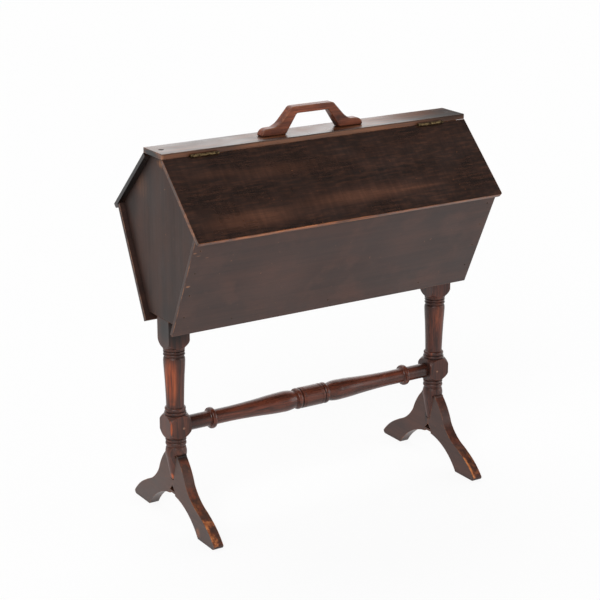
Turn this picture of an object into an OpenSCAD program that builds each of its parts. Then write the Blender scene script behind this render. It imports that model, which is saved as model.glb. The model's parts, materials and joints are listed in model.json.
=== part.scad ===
// Trestle sewing box: a long six-sided box with two lids and a carrying handle,
// carried on two turned posts with a turned stretcher and four bracket feet.
// Millimetres. X runs along the box, Y from front to back, Z up.
// The origin is on the floor, under the middle of the box.

/* [Box] */
// Length of the top board and of both lids
box_length = 600; // [540:1:700]
// Height of the top board's upper face
top_height = 651; // [630:1:690]
// Width of the top board
top_width = 64; // [58:0.2:80]
// Thickness of the top board
top_thick = 9; // [8:0.5:12]
// Overall width across the lower edges of the two lids
lid_span = 293.4; // [285:0.2:320]
// Height of the outer arris of a lid's lower edge
eave_height = 530.3; // [515:0.1:545]
// Thickness of a lid
lid_thick = 7; // [6:0.5:9]
// How far the lids run past the side panels at each end
lid_overhang = 1.5; // [0:0.5:6]
// Height of the underside of the bottom board
floor_height = 366; // [356:1:376]
// Outer width across the lower edges of the two side panels
bottom_width = 97.8; // [90:0.2:110]
// How far the side panels hang below the bottom board
side_skirt = 16.3; // [8:0.1:22]
// Lean of the side panels from the vertical, in degrees
side_lean = 25.1; // [22:0.1:27]
// Thickness of a side panel
side_thick = 7; // [6:0.5:9]
// Thickness of an end panel
end_thick = 9; // [8:0.5:12]
// How far the end panels stand in from the ends of the side panels
end_inset = 9.5; // [4:0.5:16]
// Thickness of the bottom board
bottom_thick = 9; // [8:0.5:12]

/* [Handle] */
// Length of the handle over its pads
handle_length = 200; // [190:1:240]
// Height of the handle above the top board
handle_rise = 45; // [40:1:60]
// Thickness of the handle from front to back
handle_thick = 18; // [14:0.5:24]
// Length of the level grip along its upper edge
grip_length = 75; // [60:1:90]
// Depth of the grip from its upper edge to the finger gap
grip_depth = 12; // [9:0.5:15]
// Height of a handle pad
pad_height = 13.2; // [11:0.2:16]
// Length of the finger gap where it meets the top board
gap_length = 106; // [96:1:112]

/* [Trestle] */
// Side of the square stock of a post
post_square = 39.6; // [38:0.2:44]
// Height of the square block at the top of a post
top_block = 37; // [28:1:44]
// Height of the middle of a post's square block for the stretcher
block_height = 175.5; // [170:0.5:182]
// Length of that block with full corners
block_length = 16; // [12:1:20]
// Diameter of a post's neck under its top block
neck_d = 37; // [34:0.2:37.6]
// Diameter of the upper end of a post's shaft
shaft_top_d = 37.2; // [34:0.2:37.6]
// Diameter of the lower end of a post's shaft
shaft_low_d = 30.3; // [26:0.1:33]
// Diameter of a post where the feet meet it
spigot_d = 34; // [32:0.2:36]
// Distance between the two flats that a post has for its feet
flat_width = 28.8; // [26:0.2:30]
// Height of the stretcher's axis
rail_height = 173.2; // [171:0.1:180]
// Diameter of the stretcher near its ends
rail_end_d = 26.2; // [22:0.2:30]
// Largest diameter of the stretcher's two long swells
rail_swell_d = 36.2; // [32:0.2:37]
// Diameter of the barrel in the middle of the stretcher
rail_barrel_d = 37.3; // [34:0.1:39]
// Length of the stretcher's barrel
barrel_length = 43; // [36:1:50]
// Distance from the middle of the stretcher to the fattest place of a swell
swell_place = 60; // [54:1:74]
// Distance from the middle of the stretcher to where a swell has run out
swell_end = 165; // [140:1:178]
// Distance from the middle of the stretcher to a ring near its end
ring_place = 201; // [188:1:215]
// Diameter of the ring
ring_d = 37.4; // [33:0.2:39]
// Diameter of a tenon on the stretcher
tenon_d = 16; // [12:1:20]
// Length of a tenon on the stretcher
tenon_length = 22; // [18:0.5:26]

/* [Feet] */
// Distance from the middle of a post to the toe of a foot
foot_reach = 142; // [130:1:150]
// Distance from the middle of a post to the heel on the floor
heel_place = 86.7; // [78:0.1:94]
// Height of the upper end of a foot
foot_height = 125.5; // [122:0.5:128]
// Thickness of a foot
foot_thick = 18; // [14:0.5:18]
// Height of the underside of a foot at the middle
crotch_height = 49; // [44:0.5:54]

/* [Hinges] */
// Length of a hinge
hinge_length = 52; // [44:1:64]
// Distance from an end of the top board to the middle of a hinge
hinge_inset = 75.5; // [64:0.5:120]
// Diameter of a hinge barrel
barrel_d = 5.2; // [4.6:0.2:5.6]
// Diameter of a hinge pin
hinge_pin_d = 2.4; // [2:0.1:2.8]
// Thickness of a hinge leaf
leaf_thick = 1.2; // [1:0.1:1.4]
// Width of the leaf that is let into the top board
leaf_width = 9.2; // [8:0.1:11]
// Number of knuckles in a hinge
knuckles = 5; // [3:2:7]

/* [Fasteners] */
// Diameter of the plugs over the screws in the top board
plug_d = 9.4; // [8.6:0.2:12]
// Diameter of a large wood screw
screw_d = 4; // [3.4:0.1:4.6]
// Length of a screw that holds the bottom board on a post
post_screw_length = 36; // [28:1:44]
// Length of a screw that holds the handle
handle_screw_length = 20; // [16:0.5:21]
// Length of a screw that holds the top board on an end panel
top_screw_length = 32; // [24:1:40]
// Diameter of a hinge screw
small_screw_d = 2; // [1.6:0.1:2.2]
// Length of a hinge screw
small_screw_length = 7; // [5:0.5:8]
// Diameter of a panel nail
nail_d = 1.6; // [1.2:0.1:1.8]
// Length of a panel nail
nail_length = 18; // [14:0.5:19]
// Number of nails up each end of a side panel
end_nails = 4; // [3:1:6]
// Diameter of the dowels that hold the feet
dowel_d = 8; // [6:0.5:9]
// Length of the dowels that hold the feet
dowel_length = 53; // [44:1:56]
// Diameter of the pegs through the stretcher's tenons
peg_d = 4; // [3:0.5:5]

/* [Clearances] */
// Gap between a closed lid and the edges it rests on
seat_gap = 0.3; // [0.2:0.05:0.5]
// Gap beside a hinge barrel and between its knuckles
run_gap = 0.3; // [0.2:0.05:0.4]
// Gap between a hinge barrel and the edge of the top board
barrel_gap = 0.8; // [0.5:0.1:1.2]
// Radial clearance of a hinge pin in its knuckles
pin_gap = 0.05; // [0.02:0.01:0.08]
// Radial clearance of dowels, pegs, tenons, screws and nails in their holes
fit_gap = 0.05; // [0.02:0.01:0.1]

/* [Hidden] */
$fn = 64;
eps = 1;

// Joint of a closed lid: the hinge axis, and how the lid hangs from it
half_length = box_length / 2;
top_under = top_height - top_thick;
hinge_y = top_width / 2 + barrel_gap + barrel_d / 2;
hinge_z = top_under + leaf_thick - run_gap / 2;
leaf_set = run_gap / 2;
face_drop = barrel_d / 2 + run_gap;
lid_round = 4;
lid_run = lid_span / 2 - hinge_y;
lid_drop = hinge_z - eave_height;
lid_slope = atan2(lid_drop, lid_run) - asin(face_drop / norm([lid_run, lid_drop]));
lid_start = leaf_set + leaf_thick;
lid_lap = 1.4;
lid_end = sqrt(pow(norm([lid_run, lid_drop]), 2) - pow(face_drop, 2));

// Section of the box at y > 0, as points [y, z]
side_angle = 90 - side_lean;
side_low = [bottom_width / 2, floor_height - side_skirt];
side_low_in = side_low + side_thick * [-cos(side_lean), sin(side_lean)];
seat_depth = face_drop + lid_thick + seat_gap;
seat_point = [hinge_y, hinge_z] - seat_depth * [sin(lid_slope), cos(lid_slope)];
side_top = meet(side_low, side_angle, seat_point, -lid_slope);
side_top_in = meet(side_low_in, side_angle, seat_point, -lid_slope);
end_top = meet([0, top_under], 0, seat_point, -lid_slope);

// Places along the box
side_length = box_length - 2 * lid_overhang;
end_face = side_length / 2 - end_inset;
end_middle = end_face - end_thick / 2;
post_x = end_face - post_square / 2;
hinge_x = half_length - hinge_inset;

// Nails: rows up the ends of the side panels, and along the bottom board
nail_margin = 25;
nail_head_d = nail_d + 1.2;
nail_head = 0.8;
edge_from = along_side(floor_height);
edge_to = along_side(side_top_in[1]);
floor_nail_rise = 2.2;
floor_nail_pitch = 190;

// Post: heights of its turned parts
corner_r = post_square * sqrt(2) / 2 + 0.4;
tip_r = 10.4;
tip_half = 5;
tip_height = 77;
tongue_top = 118;
pocket_gap = 0.2;
bulb_swell = 1.6;
shaft_low = block_height + 33.5;
shaft_top = floor_height - 75;
shaft_waist = shaft_low + 0.68 * (shaft_top - shaft_low);
shaft_waist_r = shaft_low_d / 2 + 0.56 * (shaft_top_d - shaft_low_d) / 2;

// Stretcher
rail_half = post_x - post_square / 2;
peg_depth = post_square * 0.72;
peg_proud = 0.4;
peg_x = post_x - post_square / 2 + 0.65 * tenon_length;

// Feet, measured from the middle of the post: the lip on top, where the shin meets
// the instep, where the instep meets the toe, and the opening between two feet
foot_lip = 5.4;
shin_low = [47.5, 81];
instep = [90, 46];
toe_back = [102.7, 39];
toe_nose = 6;
toe_round = 5;
lip_round = 2.5;
web_step = 3;
web_height = 4;
opening_half = 9;
opening_rise = 10;
dowel_drop = 16.5;
dowel_pitch = 13;

// Screws
plug_depth = 3;
plug_recess = 0.3;
head_ratio = 1.9;
slot_width = 0.8;
slot_depth = 0.7;
hinge_screw_pitch = 18;
post_screw_x = post_x - 0.16 * post_square;
post_screw_y = 0.24 * post_square;
handle_screw_inset = 20;
handle_screw_x = handle_length / 2 - handle_screw_inset;

sides = [-1, 1];

// ---- Geometry helpers ----

// Where the line through p at angle a crosses the line through q at angle b
function meet(p, a, q, b) =
    let (u = [cos(a), sin(a)], v = [cos(b), sin(b)])
    p + u * cross(q - p, v) / cross(u, v);

// Distance up the inner face of a side panel to the height z
function along_side(z) = (z - side_low_in[1]) / cos(side_lean);

// Points of an arc from p to q; a positive rise bulges to the left of the way
function arc(p, q, rise, n = 8) =
    let (c = norm(q - p), h = 2 * atan(2 * rise / c), r = c / (2 * sin(h)))
    let (u = (q - p) / c, v = [-u[1], u[0]])
    [for (i = [0 : n]) let (t = h * (2 * i / n - 1))
        (p + q) / 2 + r * (sin(t) * u + (cos(t) - cos(h)) * v)];

// The points of half an outline, then their mirror images back to the start
function both_halves(half) =
    concat(half, [for (i = [len(half) - 1 : -1 : 0]) [-half[i][0], half[i][1]]]);

// An outline drawn in the YZ plane, drawn out along X and centred at x = 0
module along_x(length)
    rotate([90, 0, 90])
        linear_extrude(length, center = true) children();

// An outline drawn in the XZ plane, drawn out along Y and centred at y = 0
module along_y(length)
    rotate([90, 0, 0])
        linear_extrude(length, center = true) children();

// The front is the mirror image of the back, and the left end of the right end
module front() mirror([0, 1, 0]) children();
module left() mirror([1, 0, 0]) children();

module both_sides() {
    children();
    front() children();
}

module both_ends() {
    children();
    left() children();
}

// Frame of the closed back lid: the origin on the hinge axis, +Y down the lid
module lid_frame()
    translate([0, hinge_y, hinge_z])
        rotate([-lid_slope, 0, 0]) children();

// Frame of the back panel: the origin on its lower outer arris, +Y up, +Z in
module side_frame()
    translate([0, side_low[0], side_low[1]])
        rotate([side_angle, 0, 0]) children();

// A hole, which is what a fastener widened by a gap is, runs out past its mouth
module mouth(r, gap)
    if (gap > 0)
        translate([0, 0, -eps]) cylinder(h = 1.5 * eps, r = r + gap);

// A countersunk wood screw with its head at z = 0, pointing up; gap widens it
module screw(d, length, gap = 0) {
    head_r = head_ratio * d / 2;
    taper = head_r - d / 2;
    difference() {
        union() {
            cylinder(h = taper + gap, r1 = head_r + gap, r2 = d / 2);
            cylinder(h = length - d + gap, r = d / 2 + gap);
            translate([0, 0, length - d + gap])
                cylinder(h = d, r1 = d / 2 + gap, r2 = 0.2);
        }
        if (gap == 0)
            translate([-head_r - eps, -slot_width / 2, -eps])
                cube([2 * (head_r + eps), slot_width, eps + min(slot_depth, 0.2 * d)]);
    }
    mouth(head_r, gap);
}

// A nail with its head at z = 0, pointing up; gap widens it
module nail(gap = 0) {
    cylinder(h = nail_head + gap, d = nail_head_d + 2 * gap);
    cylinder(h = nail_length - nail_d + gap, d = nail_d + 2 * gap);
    translate([0, 0, nail_length - nail_d + gap])
        cylinder(h = nail_d, d1 = nail_d + 2 * gap, d2 = 0.3);
    mouth(nail_head_d / 2, gap);
}

// ---- Places where fasteners go; what is passed in points into the wood ----

module at_side_nails() {
    span = edge_to - edge_from - 2 * nail_margin;
    side_frame() {
        for (x = sides * end_middle, i = [0 : end_nails - 1])
            translate([x, edge_from + nail_margin + span * i / (end_nails - 1), 0])
                children();
        for (i = [-1 : 1])
            translate([i * floor_nail_pitch, along_side(floor_height + floor_nail_rise), 0])
                children();
    }
}

module at_hinges()
    for (x = sides * hinge_x) translate([x, 0, 0]) children();

module at_board_hinge_screws()
    both_sides() at_hinges()
        for (i = [-1 : 1])
            translate([i * hinge_screw_pitch, top_width / 2 - leaf_width / 2, top_under])
                children();

module at_lid_hinge_screws()
    lid_frame() at_hinges()
        for (i = [-1 : 1])
            translate([i * hinge_screw_pitch, leaf_set, -face_drop - lid_thick / 2])
                rotate([-90, 0, 0]) children();

module at_post_screws()
    for (x = sides * post_screw_x, y = sides * post_screw_y)
        translate([x, y, floor_height + bottom_thick]) mirror([0, 0, 1]) children();

module at_handle_screws()
    for (x = sides * handle_screw_x) translate([x, 0, top_under]) children();

module at_top_screws()
    for (x = sides * end_middle)
        translate([x, 0, top_height - plug_recess - plug_depth])
            mirror([0, 0, 1]) children();

// ---- Box ----

module top_board()
    color("#5b3f36")
    difference() {
        translate([-half_length, -top_width / 2, top_under])
            cube([box_length, top_width, top_thick]);
        both_sides() at_hinges()
            translate([-hinge_length / 2 - fit_gap, top_width / 2 - leaf_width - fit_gap,
                top_under - eps])
                cube([hinge_length + 2 * fit_gap, leaf_width + fit_gap + eps,
                    leaf_thick + eps]);
        at_board_hinge_screws() screw(small_screw_d, small_screw_length, fit_gap);
        at_handle_screws() screw(screw_d, handle_screw_length, fit_gap);
        at_top_screws() {
            screw(screw_d, top_screw_length, fit_gap);
            mirror([0, 0, 1]) cylinder(h = plug_depth + eps, d = plug_d + 2 * fit_gap);
        }
    }

// Half outline of the handle, [x, z] with z above the top board
module handle() {
    pad_end = handle_length / 2;
    pad_in = pad_end - 23;
    leg_low = [pad_end - 39, pad_height + 10];
    shoulder = [grip_length / 2 + 7.5, handle_rise - 4.5];
    under = handle_rise - grip_depth;
    outline = concat(
        [[gap_length / 2, 0], [pad_end, 0]],
        arc([pad_end, 4], [pad_end - 13, pad_height - 0.3], -2.6),
        arc([pad_in, pad_height], leg_low, 1.2, 6),
        arc(shoulder, [grip_length / 2, handle_rise], -1.1, 5));
    gap = arc([grip_length / 2 - 9, under], [grip_length / 2 - 4.2, under - 2.6], 0.7, 4);
    color("#73412f")
    difference() {
        translate([0, 0, top_height])
            along_y(handle_thick)
                difference() {
                    polygon(both_halves(outline));
                    polygon(both_halves(concat(gap, [[gap_length / 2, 0],
                        [gap_length / 2, -eps]])));
                }
        at_handle_screws() screw(screw_d, handle_screw_length, fit_gap);
    }
}

module side_panel()
    color("#54484a")
    difference() {
        along_x(side_length) polygon([side_low, side_top, side_top_in, side_low_in]);
        at_side_nails() nail(fit_gap);
    }

module front_panel() front() side_panel();
module back_panel() side_panel();

module end_panel(side)
    color("#473c3c")
    difference() {
        translate([side * end_middle, 0, 0])
            along_x(end_thick)
                polygon(both_halves([meet(side_low_in, side_angle, [0, floor_height], 0),
                    side_top_in, end_top]));
        both_sides() at_side_nails() nail(fit_gap);
        at_top_screws() screw(screw_d, top_screw_length, fit_gap);
    }

module left_end_panel() end_panel(-1);
module right_end_panel() end_panel(1);

module bottom_board() {
    upper = floor_height + bottom_thick;
    color("#4a3d39")
    difference() {
        along_x(2 * (end_face - end_thick))
            polygon(both_halves([meet(side_low_in, side_angle, [0, floor_height], 0),
                meet(side_low_in, side_angle, [0, upper], 0)]));
        both_sides() at_side_nails() nail(fit_gap);
        at_post_screws() screw(screw_d, post_screw_length, fit_gap);
    }
}

// A lid runs up past the line of the hinge pins, but for a gain that takes each hinge
module lid()
    color("#3e2d27")
    difference() {
        lid_frame()
            translate([0, 0, -face_drop - lid_thick])
                linear_extrude(lid_thick)
                    polygon(both_halves(concat([[half_length, -lid_lap]],
                        arc([half_length, lid_end - lid_round],
                            [half_length - lid_round, lid_end],
                            -lid_round * (1 - cos(45))))));
        lid_frame() at_hinges()
            translate([-hinge_length / 2 - run_gap, -lid_lap - eps, -face_drop - lid_thick - eps])
                cube([hinge_length + 2 * run_gap, lid_start + lid_lap + eps, lid_thick + 2 * eps]);
        at_lid_hinge_screws() screw(small_screw_d, small_screw_length, fit_gap);
    }

module front_lid() front() lid();
module back_lid() lid();

// ---- Trestle ----

// Half section of a post, [radius, height], from its tip up to the top block
function post_section() =
    let (foot = foot_height, mid = block_height, half = block_length / 2)
    let (top = floor_height, spigot = spigot_d / 2, neck = neck_d / 2)
    concat(
        [[0, tip_height]],
        arc([tip_r - 3, tip_height], [tip_r, tip_height + 4], -1),
        arc([spigot, foot - 7], [spigot - 0.4, foot + 11.5], -bulb_swell, 10),
        [[spigot - 1.3, foot + 12.6], [spigot - 1.3, foot + 13.6]],
        arc([spigot - 0.3, foot + 14.6], [spigot, foot + 20.8], -1.1),
        [[spigot - 0.9, foot + 21.6], [spigot - 0.9, foot + 22.6]],
        arc([spigot + 0.5, foot + 23.4], [spigot + 0.4, foot + 26.8], -0.5),
        [[spigot - 0.3, foot + 27.6]],
        arc([spigot + 1.05, mid - half - 13.5], [corner_r, mid - half], -1),
        arc([corner_r, mid + half], [spigot + 2.2, mid + half + 11.9], -1.1),
        [[spigot + 0.7, mid + half + 12.5], [spigot + 0.7, mid + half + 13.3]],
        arc([spigot + 1.5, mid + half + 13.9], [spigot + 1.1, mid + 25], -0.5),
        [[spigot - 0.4, mid + 25.7], [spigot - 0.4, mid + 26.6]],
        arc([spigot + 0.3, mid + 27.2], [spigot, mid + 32.5], -0.9),
        arc([shaft_low_d / 2, shaft_low], [shaft_waist_r, shaft_waist], 0.25),
        arc([shaft_waist_r, shaft_waist], [shaft_top_d / 2, shaft_top], -0.15, 5),
        arc([shaft_top_d / 2 - 0.2, top - 72], [shaft_top_d / 2 - 1.7, top - 68], -0.4, 4),
        [[neck - 2.2, top - 67.2], [neck - 2.2, top - 66.2]],
        arc([neck - 1, top - 65.6], [neck - 1, top - 61.9], -1),
        [[neck - 1.7, top - 61.3], [neck - 1.7, top - 60.3]],
        arc([neck - 0.7, top - 59.7], [neck - 0.7, top - 57], -0.6),
        [[neck - 1.5, top - 56.4], [neck - 1.5, top - 55.5], [neck, top - 54.8]],
        arc([neck + 0.4, top - 51.5], [corner_r, top - top_block], -1.7),
        [[corner_r, top], [0, top]]);

module post(side)
    color("#6a3d31")
    difference() {
        translate([side * post_x, 0, 0])
            intersection() {
                rotate_extrude($fn = 96) polygon(post_section());
                translate([-post_square / 2, -post_square / 2, 0])
                    cube([post_square, post_square, floor_height]);
            }
        both_sides()
            translate([side * post_x, 0, 0])
                along_x(post_square)
                    polygon([[flat_width / 2, foot_height], [flat_width / 2, tongue_top],
                        [tip_half, tip_height], [tip_half, 0], [post_square, 0],
                        [post_square, foot_height]]);
        stretcher_tenons(fit_gap);
        pegs(fit_gap);
        dowels(fit_gap);
        at_post_screws() screw(screw_d, post_screw_length, fit_gap);
    }

module left_post() post(-1);
module right_post() post(1);

// Half section of the stretcher, [radius, distance from its middle]
function rail_section() =
    let (barrel = rail_barrel_d / 2, swell = rail_swell_d / 2, end = rail_end_d / 2)
    let (barrel_end = barrel_length / 2, ring = ring_d / 2 - 0.9)
    let (waist = [end + 0.6 * (swell - end), swell_place + 0.36 * (swell_end - swell_place)])
    concat(
        [[0, 0], [barrel, 0]],
        [for (line = [5.2, 3], cut = [[-0.5, 0], [0, 0.5], [0.5, 0]])
            [barrel - cut[1], barrel_end - line + cut[0]]],
        [[barrel - 0.15, barrel_end], [barrel - 2, barrel_end + 1.1],
            [barrel - 2, barrel_end + 2]],
        arc([barrel - 0.9, barrel_end + 2.8], [barrel - 1.1, barrel_end + 10.2], -1.2),
        [[barrel - 3.4, barrel_end + 11.4], [barrel - 3.5, barrel_end + 12.8]],
        arc([barrel - 3, barrel_end + 14.2], [swell, swell_place], -1.1),
        arc([swell, swell_place], waist, -0.35, 5),
        arc(waist, [end, swell_end], 0.45),
        [[end, ring_place - 5.5]],
        arc([end + 0.6, ring_place - 4.6], [ring, ring_place - 3.4], 0.3, 4),
        arc([ring, ring_place - 3.4], [ring, ring_place + 3.4], -0.9),
        arc([ring, ring_place + 3.4], [end + 0.6, ring_place + 4.6], 0.3, 4),
        [[end, ring_place + 5.5], [end, rail_half], [0, rail_half]]);

module stretcher_tenons(gap = 0)
    both_ends()
        translate([rail_half - eps, 0, rail_height])
            rotate([0, 90, 0])
                cylinder(h = eps + tenon_length + 2 * gap, d = tenon_d + 2 * gap);

module stretcher()
    color("#663a30")
    difference() {
        union() {
            both_ends()
                translate([0, 0, rail_height])
                    rotate([0, 90, 0])
                        rotate_extrude($fn = 96) polygon(rail_section());
            stretcher_tenons();
        }
        pegs(fit_gap);
    }

// Pegs driven from the front through the blocks and the tenons in them
module pegs(gap = 0)
    for (x = sides * peg_x)
        translate([x, -post_square / 2 - peg_proud, rail_height])
            rotate([-90, 0, 0]) {
                cylinder(h = peg_proud, d1 = peg_d - 1.2, d2 = peg_d + 2 * gap);
                translate([0, 0, peg_proud])
                    cylinder(h = peg_depth + gap, d = peg_d + 2 * gap);
            }

module stretcher_pegs() color("#8a6248") pegs();

// The right back foot. Its outline, [y, z], has the shin, the instep, the toe, the heel,
// the arch, the web under the opening between two feet, half of that opening, and the
// slope that bears on the tongue of the post
module foot() {
    flat = flat_width / 2;
    web_low = crotch_height + web_step;
    web_top = web_low + web_height;
    outline = concat(
        [[flat, foot_height]],
        arc([flat + foot_lip - 1, foot_height],
            [flat + foot_lip + 0.5 * lip_round, foot_height - lip_round], 0.7, 4),
        arc([flat + foot_lip + 0.6 * lip_round, foot_height - 1.3 * lip_round], shin_low, 2.7),
        arc(shin_low, instep, -4.7),
        arc(toe_back, [foot_reach, toe_nose], 2.6),
        arc([foot_reach - 0.2, toe_nose - 1], [foot_reach - toe_round, 0], 1.2, 5),
        arc([heel_place, 0], [opening_half, crotch_height], -10),
        [[opening_half, web_low], [0, web_low], [0, web_top], [opening_half, web_top],
            [0, web_top + opening_rise], [0, tip_height - pocket_gap],
            [tip_half, tip_height - pocket_gap], [tip_half, tip_height], [flat, tongue_top]]);
    color("#5e4238")
    difference() {
        translate([post_x, 0, 0])
            along_x(foot_thick) polygon(outline);
        dowels(fit_gap);
    }
}

module left_front_foot() left() front() foot();
module left_back_foot() left() foot();
module right_front_foot() front() foot();
module right_back_foot() foot();

// Dowels that run through a post into the feet on both sides of it
module dowels(gap = 0)
    for (x = sides * post_x, i = [0, 1])
        translate([x, 0, foot_height - dowel_drop - i * dowel_pitch])
            rotate([90, 0, 0])
                cylinder(h = dowel_length + 2 * gap, d = dowel_d + 2 * gap, center = true);

module foot_dowels() color("#a07c55") dowels();

// ---- Hinges ----

// Knuckles of a hinge on the axis y = z = 0: even ones, or odd ones
module barrel(first) {
    pitch = hinge_length / knuckles;
    for (i = [first : 2 : knuckles - 1])
        translate([i * pitch - hinge_length / 2 + run_gap / 2, 0, 0])
            rotate([0, 90, 0])
                cylinder(h = pitch - run_gap, d = barrel_d);
}

// Straps that join the knuckles to a leaf, in the quarter y < 0, z > -thick
module straps(first, reach, low) {
    pitch = hinge_length / knuckles;
    for (i = [first : 2 : knuckles - 1])
        translate([i * pitch - hinge_length / 2 + run_gap / 2, -reach, low])
            cube([pitch - run_gap, reach, leaf_thick]);
}

module pin_bore()
    rotate([0, 90, 0])
        cylinder(h = hinge_length + 2 * eps, d = hinge_pin_d + 2 * pin_gap, center = true);

module board_leaf()
    difference() {
        union() {
            translate([0, hinge_y, hinge_z]) barrel(0);
            translate([0, hinge_y, hinge_z])
                straps(0, hinge_y - top_width / 2, leaf_set - leaf_thick);
            translate([-hinge_length / 2, top_width / 2 - leaf_width, top_under])
                cube([hinge_length, leaf_width, leaf_thick]);
        }
        translate([0, hinge_y, hinge_z]) pin_bore();
    }

module board_hinge_leaves()
    color("#8a7748")
    difference() {
        both_sides() at_hinges() board_leaf();
        at_board_hinge_screws() screw(small_screw_d, small_screw_length, fit_gap);
    }

// The leaf on the square upper edge of a lid
module lid_leaf() {
    root = face_drop + 0.3;
    difference() {
        union() {
            barrel(1);
            rotate([90, 0, 0]) straps(1, root, -leaf_set - leaf_thick);
            translate([-hinge_length / 2, leaf_set, -face_drop - lid_thick + 0.3])
                cube([hinge_length, leaf_thick, lid_thick - 0.6]);
        }
        pin_bore();
    }
}

module lid_leaves()
    color("#8a7748")
    difference() {
        lid_frame() at_hinges() lid_leaf();
        at_lid_hinge_screws() screw(small_screw_d, small_screw_length, fit_gap);
    }

module front_lid_hinge_leaves() front() lid_leaves();
module back_lid_hinge_leaves() lid_leaves();

module hinge_pins()
    color("#7d6c45")
    both_sides() at_hinges()
        translate([0, hinge_y, hinge_z])
            rotate([0, 90, 0])
                cylinder(h = hinge_length, d = hinge_pin_d, center = true);

// ---- Fasteners ----

module board_hinge_screws()
    color("#77694a")
    at_board_hinge_screws() screw(small_screw_d, small_screw_length);

module lid_screws()
    color("#77694a")
    at_lid_hinge_screws() screw(small_screw_d, small_screw_length);

module front_lid_hinge_screws() front() lid_screws();
module back_lid_hinge_screws() lid_screws();

module post_screws()
    color("#6b675f")
    at_post_screws() screw(screw_d, post_screw_length);

module handle_screws()
    color("#6b675f")
    at_handle_screws() screw(screw_d, handle_screw_length);

module top_screws()
    color("#6b675f")
    at_top_screws() screw(screw_d, top_screw_length);

module top_plugs()
    color("#2a1f1b")
    at_top_screws() mirror([0, 0, 1]) cylinder(h = plug_depth, d = plug_d);

module panel_nails()
    color("#5a5550")
    both_sides() at_side_nails() nail();

top_board();
handle();
front_panel();
back_panel();
left_end_panel();
right_end_panel();
bottom_board();
front_lid();
back_lid();
left_post();
right_post();
stretcher();
left_front_foot();
left_back_foot();
right_front_foot();
right_back_foot();
foot_dowels();
stretcher_pegs();
post_screws();
handle_screws();
top_screws();
top_plugs();
panel_nails();
board_hinge_leaves();
hinge_pins();
board_hinge_screws();
front_lid_hinge_leaves();
front_lid_hinge_screws();
back_lid_hinge_leaves();
back_lid_hinge_screws();
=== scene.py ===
"""A trestle sewing box: dark stained wood, turned posts, two lids and a carrying handle.

Boards, panels, lids, feet and the handle are copies of their CAD nodes with rounded arrises. The turned
pieces and the small hardware are the CAD nodes themselves. Places are in metres in the frame of the
CAD model: X along the box, the front at -Y, Z up from the floor.
"""

import json
import math

import bmesh
import bpy
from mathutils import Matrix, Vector

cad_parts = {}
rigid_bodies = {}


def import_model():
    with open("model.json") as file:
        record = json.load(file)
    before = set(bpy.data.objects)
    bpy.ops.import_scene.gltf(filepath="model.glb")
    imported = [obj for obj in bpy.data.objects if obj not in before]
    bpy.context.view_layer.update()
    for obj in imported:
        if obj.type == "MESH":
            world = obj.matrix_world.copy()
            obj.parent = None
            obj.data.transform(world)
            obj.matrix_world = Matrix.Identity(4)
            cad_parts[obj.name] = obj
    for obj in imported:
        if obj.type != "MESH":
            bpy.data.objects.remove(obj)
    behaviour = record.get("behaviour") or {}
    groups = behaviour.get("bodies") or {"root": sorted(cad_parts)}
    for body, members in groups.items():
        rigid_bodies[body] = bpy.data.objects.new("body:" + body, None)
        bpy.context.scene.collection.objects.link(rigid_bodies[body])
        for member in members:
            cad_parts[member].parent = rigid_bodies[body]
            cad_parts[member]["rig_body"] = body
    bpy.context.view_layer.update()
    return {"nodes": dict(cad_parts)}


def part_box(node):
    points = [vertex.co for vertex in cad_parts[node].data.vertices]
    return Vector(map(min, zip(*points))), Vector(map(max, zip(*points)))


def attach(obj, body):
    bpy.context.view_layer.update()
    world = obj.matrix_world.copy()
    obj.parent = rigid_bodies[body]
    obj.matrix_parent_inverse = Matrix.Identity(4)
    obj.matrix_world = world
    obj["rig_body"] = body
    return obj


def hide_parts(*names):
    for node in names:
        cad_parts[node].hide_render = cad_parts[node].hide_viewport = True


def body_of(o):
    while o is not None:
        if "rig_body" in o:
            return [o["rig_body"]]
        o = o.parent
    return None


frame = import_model()


# ---- Colours and shader nodes ----

def srgb(red, green, blue):
    """A colour given as 0 to 255 on screen, as the linear colour that a shader takes."""
    def linear(c):
        c /= 255
        return c / 12.92 if c <= 0.04045 else ((c + 0.055) / 1.055) ** 2.4
    return (linear(red), linear(green), linear(blue), 1.0)


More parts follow.
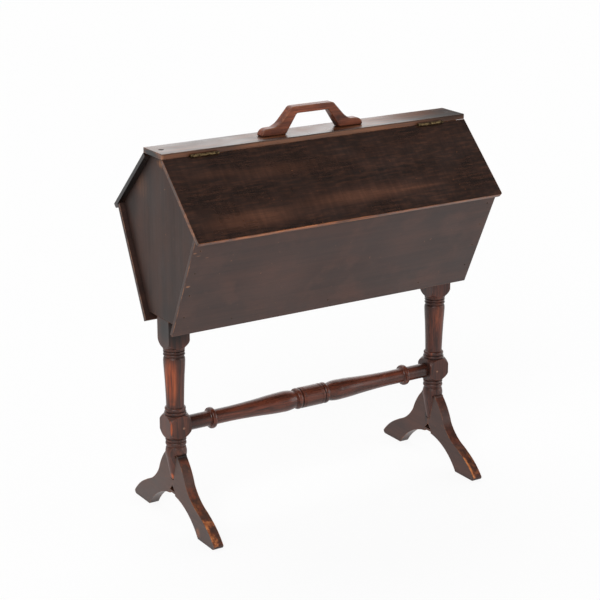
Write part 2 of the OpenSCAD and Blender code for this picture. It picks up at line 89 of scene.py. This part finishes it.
class Shader:
    """A node material, with a method for each kind of node that the finishes are made of."""

    def __init__(self, name):
        self.material = bpy.data.materials.new(name)
        self.material.use_nodes = True
        self.tree = self.material.node_tree
        self.surface = self.tree.nodes["Principled BSDF"]
        self.place = self.tree.nodes.new("ShaderNodeTexCoord").outputs["Object"]

    def add(self, kind, **settings):
        made = self.tree.nodes.new(kind)
        for key, value in settings.items():
            setattr(made, key, value)
        return made

    def put(self, socket, value):
        """Links a socket, or sets a plain number, vector or colour."""
        if isinstance(value, bpy.types.NodeSocket):
            self.tree.links.new(value, socket)
        else:
            socket.default_value = value

    def math(self, operation, first, second=0.0, clamp=False):
        made = self.add("ShaderNodeMath", operation=operation, use_clamp=clamp)
        self.put(made.inputs[0], first)
        self.put(made.inputs[1], second)
        return made.outputs[0]

    def times(self, product, *others):
        """The product of two or more values."""
        for other in others:
            product = self.math("MULTIPLY", product, other)
        return product

    def mix(self, factor, first, second, blend="MIX"):
        made = self.add("ShaderNodeMix", data_type="RGBA", blend_type=blend)
        self.put(made.inputs["Factor"], factor)
        self.put(made.inputs[6], first)
        self.put(made.inputs[7], second)
        return made.outputs[2]

    def span(self, value, low, high, to_low=0.0, to_high=1.0):
        """value from low to high, mapped to to_low to to_high with soft ends."""
        made = self.add("ShaderNodeMapRange", interpolation_type="SMOOTHSTEP")
        self.put(made.inputs["Value"], value)
        for key, number in (("From Min", low), ("From Max", high),
                            ("To Min", to_low), ("To Max", to_high)):
            self.put(made.inputs[key], number)
        return made.outputs["Result"]

    def stretched(self, size, turn, shift):
        """The place on the object from shift, turned, and counted in feature sizes along each axis."""
        made = self.add("ShaderNodeMapping", vector_type="TEXTURE")
        self.put(made.inputs["Vector"], self.place)
        self.put(made.inputs["Rotation"], turn)
        self.put(made.inputs["Location"], shift)
        self.put(made.inputs["Scale"], size)
        return made.outputs["Vector"]

    def noise(self, vector, scale=1.0, detail=4.0, roughness=0.55):
        made = self.add("ShaderNodeTexNoise")
        self.put(made.inputs["Vector"], vector)
        self.put(made.inputs["Scale"], scale)
        self.put(made.inputs["Detail"], detail)
        self.put(made.inputs["Roughness"], roughness)
        return made.outputs["Fac"]

    def near(self, centre, reach):
        """1 at a place on the object, falling to 0 at the distances (x, y, z) from it."""
        away = self.add("ShaderNodeVectorMath", operation="SUBTRACT")
        self.put(away.inputs[0], self.place)
        self.put(away.inputs[1], centre)
        scaled = self.add("ShaderNodeVectorMath", operation="DIVIDE")
        self.put(scaled.inputs[0], away.outputs[0])
        self.put(scaled.inputs[1], reach)
        length = self.add("ShaderNodeVectorMath", operation="LENGTH")
        self.put(length.inputs[0], scaled.outputs[0])
        return self.span(length.outputs["Value"], 0.2, 1.0, 1.0, 0.0)

    def arris(self, radius):
        """About 1 on a sharp edge and 0 from radius away from it."""
        bevel = self.add("ShaderNodeBevel", samples=6)
        self.put(bevel.inputs["Radius"], radius)
        facing = self.add("ShaderNodeVectorMath", operation="DOT_PRODUCT")
        self.put(facing.inputs[0], bevel.outputs["Normal"])
        self.put(facing.inputs[1], self.add("ShaderNodeNewGeometry").outputs["Normal"])
        return self.span(facing.outputs["Value"], 0.78, 0.995, 1.0, 0.0)

    def crease(self, distance, deep=0.3, shallow=0.95):
        """1 deep in a groove or corner, 0 in the open: the mask of the shade painted into the wood's
        corners and grooves, and of the tarnish in metal's corners.
        """
        made = self.add("ShaderNodeAmbientOcclusion", samples=6)
        self.put(made.inputs["Distance"], distance)
        return self.span(made.outputs["AO"], deep, shallow, 1.0, 0.0)

    def worn(self):
        """1 on the rounded part of a softened piece's arrises."""
        return self.add("ShaderNodeAttribute", attribute_name="worn").outputs["Fac"]

    def axis(self, letter, vector=None):
        split = self.add("ShaderNodeSeparateXYZ")
        self.put(split.inputs[0], vector or self.place)
        return split.outputs[letter]

    def facing(self, letter, low=0.3, high=0.8):
        """1 on faces that look along an axis of the object."""
        return self.span(self.axis(letter, self.add("ShaderNodeTexCoord").outputs["Normal"]), low, high)

    def beyond(self, normal, distance, soft=0.0004):
        """1 past a plane, given by its normal and its distance from the origin."""
        along_it = self.add("ShaderNodeVectorMath", operation="DOT_PRODUCT")
        self.put(along_it.inputs[0], self.place)
        self.put(along_it.inputs[1], normal)
        return self.span(along_it.outputs["Value"], distance - soft, distance)

    def bump(self, height, distance, strength):
        made = self.add("ShaderNodeBump")
        self.put(made.inputs["Height"], height)
        self.put(made.inputs["Distance"], distance)
        self.put(made.inputs["Strength"], strength)
        self.tree.links.new(made.outputs["Normal"], self.surface.inputs["Normal"])


# ---- Wood ----

# Feature sizes of the grain, along it and across it.
FINE = (0.04, 0.0013)
STREAK = (0.16, 0.005)
BAND = (0.5, 0.02)
PATCH = (0.09, 0.05)
PORE = (0.012, 0.0006)
CROSS = (0.007, 0.06)
RING_STRETCH = 9
CLOUD_SHIFT = (0.31, 0.17, 0.53)
ONE_RING = 0.31  # the wave texture's scale at which a ring is about one unit wide

# The scales of the noises that rub the arrises in blotches and nick the faces.
RUBBED = 55
NICKED = 150
ARRIS_REACH = 0.0022
GROOVE_REACH = 0.0035

# The near-black that dirty places and the painted shade in corners darken the wood towards.
DIRT_AND_SHADE = srgb(16, 11, 9)
VARNISH_IOR = 1.46
SURFACE_RELIEF = 0.0006

# The two tones of bare wood, in three kinds.
ORANGE = (srgb(140, 74, 40), srgb(206, 130, 76))
TAN = (srgb(104, 68, 50), srgb(160, 112, 80))
FLAME = (srgb(122, 52, 30), srgb(190, 98, 56))

finishes = {}


def along(axis, length, width):
    """Feature sizes for a grain that runs along one axis."""
    return [length if letter == axis else width for letter in "XYZ"]


def wood(name, dark, brown, worn, axis="X", turn=(0, 0, 0), shift=(0, 0, 0), pith=(0, 0.09, -0.12),
         ring=0.012, grain=(0.35, 0.3, 0.2, 0.15), figure=0.0, mottle=0.2, thin=None, bands=None,
         tops=None, edge=1.0, wear=None, soot=None, dull=None, rough=0.42, corner_shade=0.6, deep=0.012,
         grooves=0.0, marks=0.5, polish=0.5):
    """Old stained wood: streaks and rings along the grain, pores, patches, worn arrises, dirty corners in
    painted shade.

    dark and brown are the tones of the stain, worn those of the bare wood. turn, shift and pith place
    the grain, ring is the width of its rings, and grain the shares of fine grain, streaks, bands and
    rings. figure and mottle are the strengths of the cross figure and of the patches. thin is (colour,
    length, width, amount) of the soft patches where the stain has gone thin, and tops is the same for
    the faces that look up. bands gives where else it is thin, wear how bare each other place is, soot
    how black each spot is painted, as dirty places and as painted shade, and dull where the polish has
    gone. edge is how bare the arrises are, marks the nicks, grime how dark the painted shade is in
    corners within deep, and grooves how dark the turned grooves are painted, dirty and shaded.
    """
    made = Shader(name)

    def grained(size, **settings):
        return made.noise(made.stretched(along(axis, *size), turn, shift), **settings)

    fine = grained(FINE, roughness=0.6)
    streak = grained(STREAK, detail=6, roughness=0.62)
    band = grained(BAND, detail=3)
    patch = grained(PATCH)
    pores = grained(PORE, detail=2)
    cross = grained(CROSS)

    rings = made.add("ShaderNodeTexWave", wave_type="RINGS", rings_direction=axis, wave_profile="SAW")
    made.put(rings.inputs["Vector"], made.stretched(along(axis, ring * RING_STRETCH, ring), turn,
                                                    [a + b for a, b in zip(shift, pith)]))
    made.put(rings.inputs["Scale"], ONE_RING)
    made.put(rings.inputs["Distortion"], 2.2)
    made.put(rings.inputs["Detail"], 2.0)
    made.put(rings.inputs["Detail Scale"], 0.6)

    tone = 0.0
    for pattern, share in zip((fine, streak, band, rings.outputs["Fac"]), grain):
        tone = made.math("ADD", made.times(pattern, share), tone)
    colour = made.mix(made.span(tone, 0.36, 0.62), dark, brown)
    for patches, where in ((thin, 1.0), (tops, made.facing("Z"))):
        if patches:
            faded, length, width, amount = patches
            cloud = made.noise(made.stretched(along(axis, length, width), turn, CLOUD_SHIFT), detail=5)
            haze = made.times(made.span(cloud, 0.44, 0.66), made.span(fine, 0.3, 0.6, 0.5, 1.0),
                              where, amount)
            if bands and patches is thin:
                worked = made.times(bands(made), made.span(fine, 0.3, 0.6, 0.6, 1.0))
                haze = made.math("MAXIMUM", haze, worked, clamp=True)
            colour = made.mix(haze, colour, faded)
    shade = made.times(made.span(patch, 0.3, 0.7, 1 - mottle, 1 + mottle),
                       made.span(cross, 0.35, 0.65, 1 - figure, 1 + figure),
                       made.span(pores, 0.52, 0.74, 1.0, 0.8))
    colour = made.mix(1.0, colour, shade, blend="MULTIPLY")

    rubbed = made.span(made.noise(made.place, scale=RUBBED, detail=5), 0.36, 0.6)
    nicked = made.span(made.noise(made.place, scale=NICKED, detail=2), 0.72, 0.78)
    bare = made.math("MULTIPLY", made.math("MAXIMUM", made.worn(), made.arris(ARRIS_REACH)),
                     made.times(rubbed, edge), clamp=True)
    bare = made.math("MAXIMUM", bare, made.times(nicked, marks))
    if wear:
        patchy = made.times(wear(made), made.span(tone, 0.38, 0.58, 0.35, 1.0))
        bare = made.math("MAXIMUM", bare, patchy, clamp=True)
    colour = made.mix(bare, colour, made.mix(made.span(streak, 0.3, 0.7), worn[0], worn[1]))
    # Painted shade: ambient occlusion darkens corners within deep, and turned grooves, towards near-black;
    # the soot spots add painted shade and dirty places.
    dirt_and_shade = made.times(made.crease(deep), corner_shade)
    if grooves:
        in_grooves = made.times(made.crease(GROOVE_REACH, 0.5, 0.94), grooves)
        dirt_and_shade = made.math("MAXIMUM", dirt_and_shade, in_grooves)
    if soot:
        dirt_and_shade = made.math("MAXIMUM", dirt_and_shade, soot(made), clamp=True)
    colour = made.mix(dirt_and_shade, colour, DIRT_AND_SHADE)

    made.put(made.surface.inputs["Base Color"], colour)
    made.put(made.surface.inputs["IOR"], VARNISH_IOR)
    made.put(made.surface.inputs["Specular IOR Level"], polish)
    roughness = made.math("ADD", made.span(patch, 0.3, 0.7, rough - 0.05, rough + 0.07),
                          made.times(bare, 0.15))
    if dull:
        roughness = made.math("ADD", roughness, made.times(dull(made), 0.35))
    made.put(made.surface.inputs["Roughness"], roughness)
    made.bump(made.math("ADD", made.times(streak, 0.4), patch), SURFACE_RELIEF, 0.4)
    finishes[name] = made.material


# ---- Where the wood is worn or dirty ----

FRONT = -1
BACK = 1

# How far the rubbed eave and the rubbed ends of a lid reach in from its edges.
EAVE_DEPTH = 0.0042
LID_END_DEPTH = 0.0006
LID_END_FULL = 0.0002

TOE_ARRIS = 0.006


def spots(*places):
    """Soft spots: each is a centre, its reach in x, y and z, and how strong it is."""
    def strength(made):
        total = 0.0
        for centre, reach, amount in places:
            total = made.math("ADD", made.times(made.near(centre, reach), amount), total)
        return total
    return strength


def lid_corners(side):
    """The lowest and highest corner of a lid's box, and the y of its outer and of its inner edge."""
    low, high = (Vector(corner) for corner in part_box("front_lid" if side < 0 else "back_lid"))
    outer, inner = (low.y, high.y) if side < 0 else (high.y, low.y)
    return low, high, outer, inner


def lid_bands(side, *bands):
    """Rubbed bands on a lid: each is where it lies along the lid and down it, its size and its amount."""
    low, high, outer, inner = lid_corners(side)
    return spots(*[((x, inner + (outer - inner) * down, high.z + (low.z - high.z) * down),
                    (length, width, width), amount) for x, down, length, width, amount in bands])


def lid_edges(side, end_share):
    """The lower edge of a lid, and less so its ends, are rubbed through along their length."""
    low, high, outer, inner = lid_corners(side)
    slope = math.atan2(high.z - low.z, abs(outer - inner))
    fall = Vector((0, side * math.cos(slope), -math.sin(slope)))

    def wear(made):
        worked = made.noise(made.place, scale=32, detail=5)
        eave = made.times(made.beyond(fall, fall.dot(Vector((0, outer, low.z))) - EAVE_DEPTH),
                          made.span(worked, 0.34, 0.6, 0.25, 0.8),
                          made.span(made.axis("X"), -0.1, 0.25, 1.0, 0.5))
        ends = made.times(made.span(made.math("ABSOLUTE", made.axis("X")),
                                    high.x - LID_END_DEPTH, high.x - LID_END_FULL),
                          made.span(worked, 0.44, 0.6, 0.15, 1.0))
        return made.math("MAXIMUM", eave, made.times(ends, end_share))
    return wear


def foot_wear(made):
    """Feet are rubbed in blotches on top and along the front toes' left arrises, with one chip low down."""
    reach = made.math("ABSOLUTE", made.axis("Y"))
    upper = made.facing("Z", 0.15, 0.5)
    blotch = made.span(made.noise(made.place, scale=60, detail=5), 0.46, 0.6)
    rubbed = made.times(made.span(reach, 0.045, 0.145, 0.0, 0.85), blotch,
                        made.span(made.axis("X"), -0.1, 0.1, 1.0, 0.45))
    arris = 0.0
    for foot in ("left_front_foot", "right_front_foot"):
        away = made.math("ABSOLUTE", made.math("SUBTRACT", made.axis("X"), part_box(foot)[0][0]))
        arris = made.math("MAXIMUM", made.span(away, 0.0, TOE_ARRIS, 1.0, 0.0), arris)
    patchy = made.span(made.noise(made.place, scale=90), 0.4, 0.52)
    arris = made.times(arris, patchy, made.span(reach, 0.085, 0.12, 0.0, 1.8))
    chip = made.times(made.near((-0.2782, -0.0879, 0.0123), (0.004, 0.01, 0.012)), 0.7)
    return made.math("MAXIMUM", made.times(made.math("MAXIMUM", rubbed, arris), upper), chip)


# ---- The finishes ----

# Lids are painted a little dark in their corners as shade, such as along the line under the board's front
# edge.
def lid_wood(name, side, end_share, bands, **settings):
    wood(name, srgb(30, 20, 16), srgb(48, 30, 23), ORANGE, figure=0.14, mottle=0.2, edge=0.3,
         grain=(0.3, 0.35, 0.3, 0.05), thin=(srgb(98, 62, 45), 0.024, 0.0042, 0.26), marks=0.2,
         rough=0.3, corner_shade=0.4, wear=lid_edges(side, end_share), bands=lid_bands(side, *bands), **settings)


def foot_wood(name, dark, brown, top, soot):
    wood(name, dark, brown, ORANGE, axis="Y", edge=0.6, grain=(0.3, 0.4, 0.3, 0.0), mottle=0.2,
         tops=(top, 0.02, 0.012, 0.9), wear=foot_wear, rough=0.36, polish=0.34, grooves=0.5,
         soot=spots(soot))


def metal(name, bright, dull, rough):
    """Aged metal: bright where it is handled, dull with tarnish in patches and corners."""
    made = Shader(name)
    tarnish = made.noise(made.place, scale=160)
    colour = made.mix(made.span(tarnish, 0.35, 0.6), dull, bright)
    colour = made.mix(made.times(made.crease(0.003), 0.8), colour, srgb(28, 20, 14))
    made.put(made.surface.inputs["Base Color"], colour)
    made.put(made.surface.inputs["Metallic"], 1.0)
    made.put(made.surface.inputs["Roughness"], made.span(tarnish, 0.3, 0.65, rough + 0.2, rough))
    made.bump(made.noise(made.place, scale=900, detail=3), 0.0002, 0.4)
    finishes[name] = made.material


# The board is rubbed along its front edge and at its left front corner, and sooty towards both ends.
wood("top_wood", srgb(50, 32, 22), srgb(112, 66, 38), TAN, edge=0.5, rough=0.32, polish=0.45,
     tops=(srgb(52, 46, 43), 0.2, 0.03, 0.85),
     wear=spots(((0.0, -0.033, 0.6465), (0.22, 0.004, 0.008), 0.35),
                ((-0.3, -0.031, 0.6455), (0.005, 0.005, 0.008), 1.0)),
     soot=spots(((-0.21, -0.037, 0.6455), (0.11, 0.009, 0.02), 0.8),
                ((0.26, -0.037, 0.6455), (0.12, 0.009, 0.02), 1.1),
                ((0.3, 0.0, 0.6505), (0.09, 0.05, 0.01), 0.8),
                ((-0.3, 0.008, 0.6455), (0.006, 0.032, 0.008), 1.2)),
     dull=spots(((0.29, 0.0, 0.651), (0.18, 0.08, 0.02), 1.4)))

# The handle is painted dark in three small places: a painted shadow on the inner face of its right half,
# and two darker places beside its left pad.
wood("handle_wood", srgb(84, 43, 29), srgb(138, 74, 48), TAN, edge=0.4, rough=0.36,
     grain=(0.4, 0.3, 0.25, 0.05), deep=0.006, mottle=0.25, polish=0.3,
     soot=spots(((0.05, 0.0, 0.664), (0.009, 0.014, 0.02), 1.0),
                ((-0.099, 0.0, 0.652), (0.01, 0.014, 0.003), 0.8),
                ((-0.055, 0.0, 0.653), (0.01, 0.014, 0.004), 0.8)))

# The panels have thin stain in two soft patches, and chips near the front panel's left end.
wood("side_wood", srgb(50, 33, 28), srgb(62, 40, 33), TAN, edge=0.9, mottle=0.16,
     grain=(0.15, 0.2, 0.6, 0.05), thin=(srgb(88, 56, 45), 0.05, 0.05, 0.35),
     bands=spots(((-0.12, -0.08, 0.43), (0.09, 0.08, 0.08), 0.5),
                 ((0.13, -0.1, 0.46), (0.07, 0.05, 0.05), 0.3)),
     shift=(0.3, 0.2, 0.1), polish=0.45,
     wear=spots(((-0.2938, -0.1221, 0.5089), (0.005, 0.005, 0.002), 1.2),
                ((-0.286, -0.1195, 0.503), (0.006, 0.004, 0.0012), 0.8),
                ((-0.2693, -0.1166, 0.4972), (0.005, 0.004, 0.0015), 1.0),
                ((-0.2916, -0.0929, 0.4467), (0.006, 0.005, 0.003), 1.2)))

# The left end is rubbed near its top. It has painted shade deep in its corners and at the back under the
# back lid's overhang, and is darker low down.
wood("end_wood", srgb(48, 33, 28), srgb(62, 42, 35), TAN, axis="Z", mottle=0.2,
     grain=(0.2, 0.2, 0.55, 0.05), deep=0.03, corner_shade=0.9, rough=0.5, polish=0.32,
     thin=(srgb(66, 46, 38), 0.06, 0.04, 0.5),
     wear=spots(((-0.289, -0.012, 0.63), (0.004, 0.024, 0.01), 0.9),
                ((-0.289, 0.06, 0.58), (0.004, 0.03, 0.03), 0.25)),
     soot=spots(((-0.289, 0.1, 0.545), (0.006, 0.03, 0.04), 0.5),
                ((-0.289, -0.03, 0.38), (0.006, 0.05, 0.03), 0.35)))

wood("inner_wood", srgb(74, 50, 38), srgb(104, 74, 56), TAN, edge=0.2)

lid_wood("front_lid_wood", FRONT, 0.45,
         ((0.03, 0.73, 0.19, 0.02, 0.6), (0.15, 0.74, 0.1, 0.006, 0.75), (-0.19, 0.8, 0.12, 0.026, 0.6),
          (-0.1, 0.3, 0.13, 0.018, 0.35), (-0.22, 0.25, 0.07, 0.012, 0.3)))

# The back lid's left end is painted black, as the shade on its end face and under its overhang.
lid_wood("back_lid_wood", BACK, 0.0, ((-0.06, 0.7, 0.2, 0.02, 0.5), (0.16, 0.82, 0.1, 0.02, 0.4)),
         shift=(0.7, 0.4, 0.2), soot=spots(((-0.3, 0.088, 0.59), (0.016, 0.13, 0.13), 1.3)))

# The left post is rubbed on its shaft and chipped beside the stretcher and lower down. It has painted shade
# on its top block under the box, and is darker at the grooves below that block and below the stretcher.
wood("left_turned", srgb(48, 32, 28), srgb(88, 50, 38), FLAME, axis="Z",
     turn=(math.radians(2.5), math.radians(1.5), 0), pith=(-0.24, 0.09, 0), ring=0.004,
     edge=0.45, rough=0.36, deep=0.008, grooves=0.95, polish=0.36,
     wear=spots(((-0.284, -0.012, 0.258), (0.018, 0.018, 0.055), 1.0),
                ((-0.286, -0.016, 0.217), (0.012, 0.012, 0.006), 0.9),
                ((-0.2884, -0.0198, 0.178), (0.003, 0.003, 0.018), 2.5),
                ((-0.281, -0.004, 0.084), (0.008, 0.006, 0.008), 1.0)),
     soot=spots(((-0.275, -0.008, 0.35), (0.045, 0.05, 0.045), 1.0),
                ((-0.27, 0.0, 0.3), (0.03, 0.03, 0.02), 0.6),
                ((-0.27, -0.02, 0.16), (0.02, 0.02, 0.03), 0.4)))

# The right post is darker, with a thin rubbed line above the stretcher; it is painted darker below its top
# block and beside the stretcher.
wood("right_turned", srgb(42, 28, 25), srgb(84, 46, 36), FLAME, axis="Z",
     turn=(math.radians(-2), math.radians(2), 0), pith=(0.31, 0.2, 0), ring=0.006,
     grain=(0.4, 0.35, 0.2, 0.05),
     edge=0.45, shift=(0, 0, 0.5), rough=0.36, deep=0.008, grooves=0.95, polish=0.36,
     wear=spots(((0.256, -0.014, 0.225), (0.003, 0.006, 0.03), 1.6),
                ((0.266, -0.019, 0.27), (0.02, 0.02, 0.06), 0.25)),
     soot=spots(((0.27, 0.0, 0.3), (0.03, 0.03, 0.02), 0.6),
                ((0.25, 0.0, 0.175), (0.012, 0.03, 0.03), 0.8)))

# The stretcher has painted shade on its underside, and is darker at both ends beside the posts.
wood("stretcher_wood", srgb(44, 26, 21), srgb(104, 51, 34), FLAME, ring=0.006,
     grain=(0.4, 0.3, 0.25, 0.05), edge=0.5, pith=(0, 0.06, 0.2), rough=0.26,
     polish=0.42, deep=0.006, grooves=0.95,
     soot=spots(((-0.235, 0.0, 0.1732), (0.045, 0.04, 0.04), 0.6),
                ((0.24, 0.0, 0.1732), (0.04, 0.04, 0.04), 0.7),
                ((0.0, 0.0, 0.163), (0.085, 0.04, 0.02), 0.5)))

# The left feet have a painted shadow on the front foot's top lip, where it meets the post; the right feet
# are darker in one small place beside the post.
foot_wood("left_foot_wood", srgb(64, 44, 37), srgb(76, 51, 42), srgb(120, 62, 42),
          ((-0.2692, -0.022, 0.124), (0.02, 0.02, 0.012), 0.9))
foot_wood("right_foot_wood", srgb(62, 38, 31), srgb(74, 45, 36), srgb(104, 58, 46),
          ((0.2602, 0.006, 0.08), (0.003, 0.005, 0.02), 0.8))

wood("dowel_wood", srgb(70, 44, 34), srgb(112, 72, 50), TAN, edge=0.2)
wood("peg_wood", srgb(96, 66, 50), srgb(140, 100, 76), TAN, axis="Y", edge=0.2)
wood("plug_wood", srgb(34, 24, 20), srgb(54, 38, 30), TAN, axis="Z", edge=0.2, rough=0.6,
     polish=0.2)

metal("brass", srgb(128, 108, 76), srgb(56, 44, 33), 0.5)
metal("iron", srgb(70, 58, 50), srgb(40, 31, 27), 0.6)
metal("steel", srgb(150, 146, 140), srgb(84, 78, 72), 0.42)


# ---- Pieces ----

# How wide the arrises are rounded.
BOARD_ROUNDING = 0.0012
HANDLE_ROUNDING = 0.0022
PANEL_ROUNDING = 0.0008
THIN_ROUNDING = 0.0006
FOOT_ROUNDING = 0.0014

WELD = 1e-6
FLAT_ANGLE = math.radians(0.5)
ARRIS_ANGLE = math.radians(28)
SHARP_ANGLE = math.radians(35)
SMALLEST_FACE = 25e-6
BEVEL_STEPS = 3


def softened(node, width, finish):
    """Stands for a CAD node, with its long arrises rounded as old wood is."""
    source = frame["nodes"][node]
    mesh = source.data.copy()
    mesh.name = node + "_rounded"
    shape = bmesh.new()
    shape.from_mesh(mesh)
    bmesh.ops.remove_doubles(shape, verts=shape.verts, dist=WELD)
    bmesh.ops.dissolve_limit(shape, angle_limit=FLAT_ANGLE, verts=shape.verts, edges=shape.edges)
    arrises = [edge for edge in shape.edges
               if len(edge.link_faces) == 2 and edge.calc_face_angle() > ARRIS_ANGLE
               and min(face.calc_area() for face in edge.link_faces) > SMALLEST_FACE]
    worn = shape.verts.layers.float.new("worn")
    made = bmesh.ops.bevel(shape, geom=arrises, offset=width, offset_type="OFFSET", profile=0.5,
                           segments=BEVEL_STEPS, affect="EDGES", clamp_overlap=True)
    rounded = set(made["faces"])
    for vertex in shape.verts:
        vertex[worn] = float(bool(vertex.link_faces) and all(f in rounded for f in vertex.link_faces))
    shape.to_mesh(mesh)
    shape.free()
    for polygon in mesh.polygons:
        polygon.use_smooth = True
    mesh.set_sharp_from_angle(angle=SHARP_ANGLE)
    piece = bpy.data.objects.new(node + "_rounded", mesh)
    bpy.context.scene.collection.objects.link(piece)
    even = piece.modifiers.new("even_faces", "WEIGHTED_NORMAL")
    even.keep_sharp = True
    mesh.materials.clear()
    mesh.materials.append(finishes[finish])
    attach(piece, body_of(source)[0])
    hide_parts(node)


def finished(node, finish):
    """A CAD node keeps its shape and takes a finish."""
    for place in frame["nodes"][node].material_slots:
        place.material = finishes[finish]


softened("top_board", BOARD_ROUNDING, "top_wood")
softened("handle", HANDLE_ROUNDING, "handle_wood")
softened("front_panel", PANEL_ROUNDING, "side_wood")
softened("back_panel", PANEL_ROUNDING, "side_wood")
softened("left_end_panel", THIN_ROUNDING, "end_wood")
softened("right_end_panel", THIN_ROUNDING, "end_wood")
softened("bottom_board", THIN_ROUNDING, "inner_wood")
softened("front_lid", BOARD_ROUNDING, "front_lid_wood")
softened("back_lid", BOARD_ROUNDING, "back_lid_wood")
for side in ("left", "right"):
    for foot in (side + "_front_foot", side + "_back_foot"):
        softened(foot, FOOT_ROUNDING, side + "_foot_wood")

for node, finish in (
        ("left_post", "left_turned"), ("right_post", "right_turned"), ("stretcher", "stretcher_wood"),
        ("foot_dowels", "dowel_wood"), ("stretcher_pegs", "peg_wood"), ("top_plugs", "plug_wood"),
        ("post_screws", "steel"), ("handle_screws", "steel"), ("top_screws", "steel"),
        ("panel_nails", "iron"), ("hinge_pins", "brass"), ("board_hinge_leaves", "brass"),
        ("board_hinge_screws", "brass"), ("front_lid_hinge_leaves", "brass"),
        ("front_lid_hinge_screws", "brass"), ("back_lid_hinge_leaves", "brass"),
        ("back_lid_hinge_screws", "brass")):
    finished(node, finish)


# ---- Studio ----

FLOOR_REACH = 12.0
FLOOR_SQUARES = 24
FLOOR_DROP = 0.0002
FLOOR_GREY = 0.9
FLOOR_GLOW = 0.9  # the share of plain white in what the floor shows to the camera

# The world's light, as a height from the horizon and below (0) to straight above (1), and a level.
SKY = ((0.0, 0.9), (0.3, 0.8), (0.5, 0.28), (0.62, 0.14), (1.0, 0.14))

AIM = Vector((-0.0207, 0, 0.3536))
VIEW_AZIMUTH = math.radians(-32.285)
VIEW_ELEVATION = math.radians(17.533)
DISTANCE = 3.0939
LENS = 107.33
SENSOR = 36
LAMP_REACH = 3


def seen_rays(tree):
    """1 for rays from the camera or through a reflection or glass, 0 for rays that carry light."""
    path = tree.nodes.new("ShaderNodeLightPath")
    total = path.outputs["Is Camera Ray"]
    for name in ("Is Glossy Ray", "Is Transmission Ray"):
        either = tree.nodes.new("ShaderNodeMath")
        either.operation = "MAXIMUM"
        tree.links.new(total, either.inputs[0])
        tree.links.new(path.outputs[name], either.inputs[1])
        total = either.outputs[0]
    return total


def pale_floor():
    """A wide floor that shows white, and keeps a light shadow of the object."""
    mesh = bpy.data.meshes.new("floor")
    shape = bmesh.new()
    bmesh.ops.create_grid(shape, x_segments=FLOOR_SQUARES, y_segments=FLOOR_SQUARES, size=FLOOR_REACH)
    for vertex in shape.verts:
        vertex.co.z = -FLOOR_DROP
    shape.to_mesh(mesh)
    shape.free()
    floor = bpy.data.objects.new("floor", mesh)
    bpy.context.scene.collection.objects.link(floor)
    material = bpy.data.materials.new("floor")
    material.use_nodes = True
    tree = material.node_tree
    lit = tree.nodes["Principled BSDF"]
    lit.inputs["Base Color"].default_value = (FLOOR_GREY, FLOOR_GREY, FLOOR_GREY, 1)
    lit.inputs["Roughness"].default_value = 1.0
    lit.inputs["Specular IOR Level"].default_value = 0.0
    glow = tree.nodes.new("ShaderNodeEmission")
    glow.inputs["Strength"].default_value = 1.0
    blend = tree.nodes.new("ShaderNodeMixShader")
    share = tree.nodes.new("ShaderNodeMath")
    share.operation = "MULTIPLY"
    share.inputs[1].default_value = FLOOR_GLOW
    tree.links.new(seen_rays(tree), share.inputs[0])
    tree.links.new(share.outputs[0], blend.inputs[0])
    tree.links.new(lit.outputs[0], blend.inputs[1])
    tree.links.new(glow.outputs[0], blend.inputs[2])
    tree.links.new(blend.outputs[0], tree.nodes["Material Output"].inputs["Surface"])
    mesh.materials.append(material)


def studio_world():
    """White to the camera. For light and reflections it is bright at the horizon and dimmer above."""
    world = bpy.data.worlds.new("studio")
    bpy.context.scene.world = world
    world.use_nodes = True
    tree = world.node_tree
    light = tree.nodes["Background"]
    way = tree.nodes.new("ShaderNodeTexCoord")
    split = tree.nodes.new("ShaderNodeSeparateXYZ")
    tree.links.new(way.outputs["Generated"], split.inputs[0])
    ramp = tree.nodes.new("ShaderNodeValToRGB")
    tree.links.new(split.outputs["Z"], ramp.inputs[0])
    while len(ramp.color_ramp.elements) < len(SKY):
        ramp.color_ramp.elements.new(1.0)
    for element, (height, level) in zip(ramp.color_ramp.elements, SKY):
        element.position = height
        element.color = (level, level, level, 1)
    tree.links.new(ramp.outputs[0], light.inputs["Color"])
    white = tree.nodes.new("ShaderNodeBackground")
    white.inputs["Color"].default_value = (1, 1, 1, 1)
    blend = tree.nodes.new("ShaderNodeMixShader")
    path = tree.nodes.new("ShaderNodeLightPath")
    tree.links.new(path.outputs["Is Camera Ray"], blend.inputs[0])
    tree.links.new(light.outputs[0], blend.inputs[1])
    tree.links.new(white.outputs[0], blend.inputs[2])
    tree.links.new(blend.outputs[0], tree.nodes["World Output"].inputs["Surface"])


def lamp(name, way, level, width):
    """A wide soft lamp far away, which shines from a direction; level 1 lights what faces it fully."""
    data = bpy.data.lights.new(name, "SUN")
    data.angle = math.radians(width)
    data.energy = level * math.pi
    light = bpy.data.objects.new(name, data)
    light.location = AIM + Vector(way) * LAMP_REACH
    light.rotation_mode = "QUATERNION"
    light.rotation_quaternion = Vector(way).to_track_quat("Z", "Y")
    bpy.context.scene.collection.objects.link(light)


def camera():
    data = bpy.data.cameras.new("camera")
    data.sensor_width = SENSOR
    data.lens = LENS
    eye = bpy.data.objects.new("camera", data)
    flat = math.cos(VIEW_ELEVATION)
    back = Vector((math.sin(VIEW_AZIMUTH) * flat, -math.cos(VIEW_AZIMUTH) * flat,
                   math.sin(VIEW_ELEVATION)))
    eye.location = AIM + back * DISTANCE
    eye.rotation_mode = "QUATERNION"
    eye.rotation_quaternion = (-back).to_track_quat("-Z", "Y")
    bpy.context.scene.collection.objects.link(eye)
    bpy.context.scene.camera = eye


pale_floor()
studio_world()
lamp("key", (-0.6, -0.55, 0.62), 0.5, 36)
lamp("fill", (0.8, -0.55, 0.2), 0.22, 36)
lamp("back", (0.46, 0.76, 0.48), 0.34, 62)
lamp("top", (-0.1, 0.5, 0.86), 0.25, 40)
camera()
bpy.context.scene.view_settings.view_transform = "Standard"
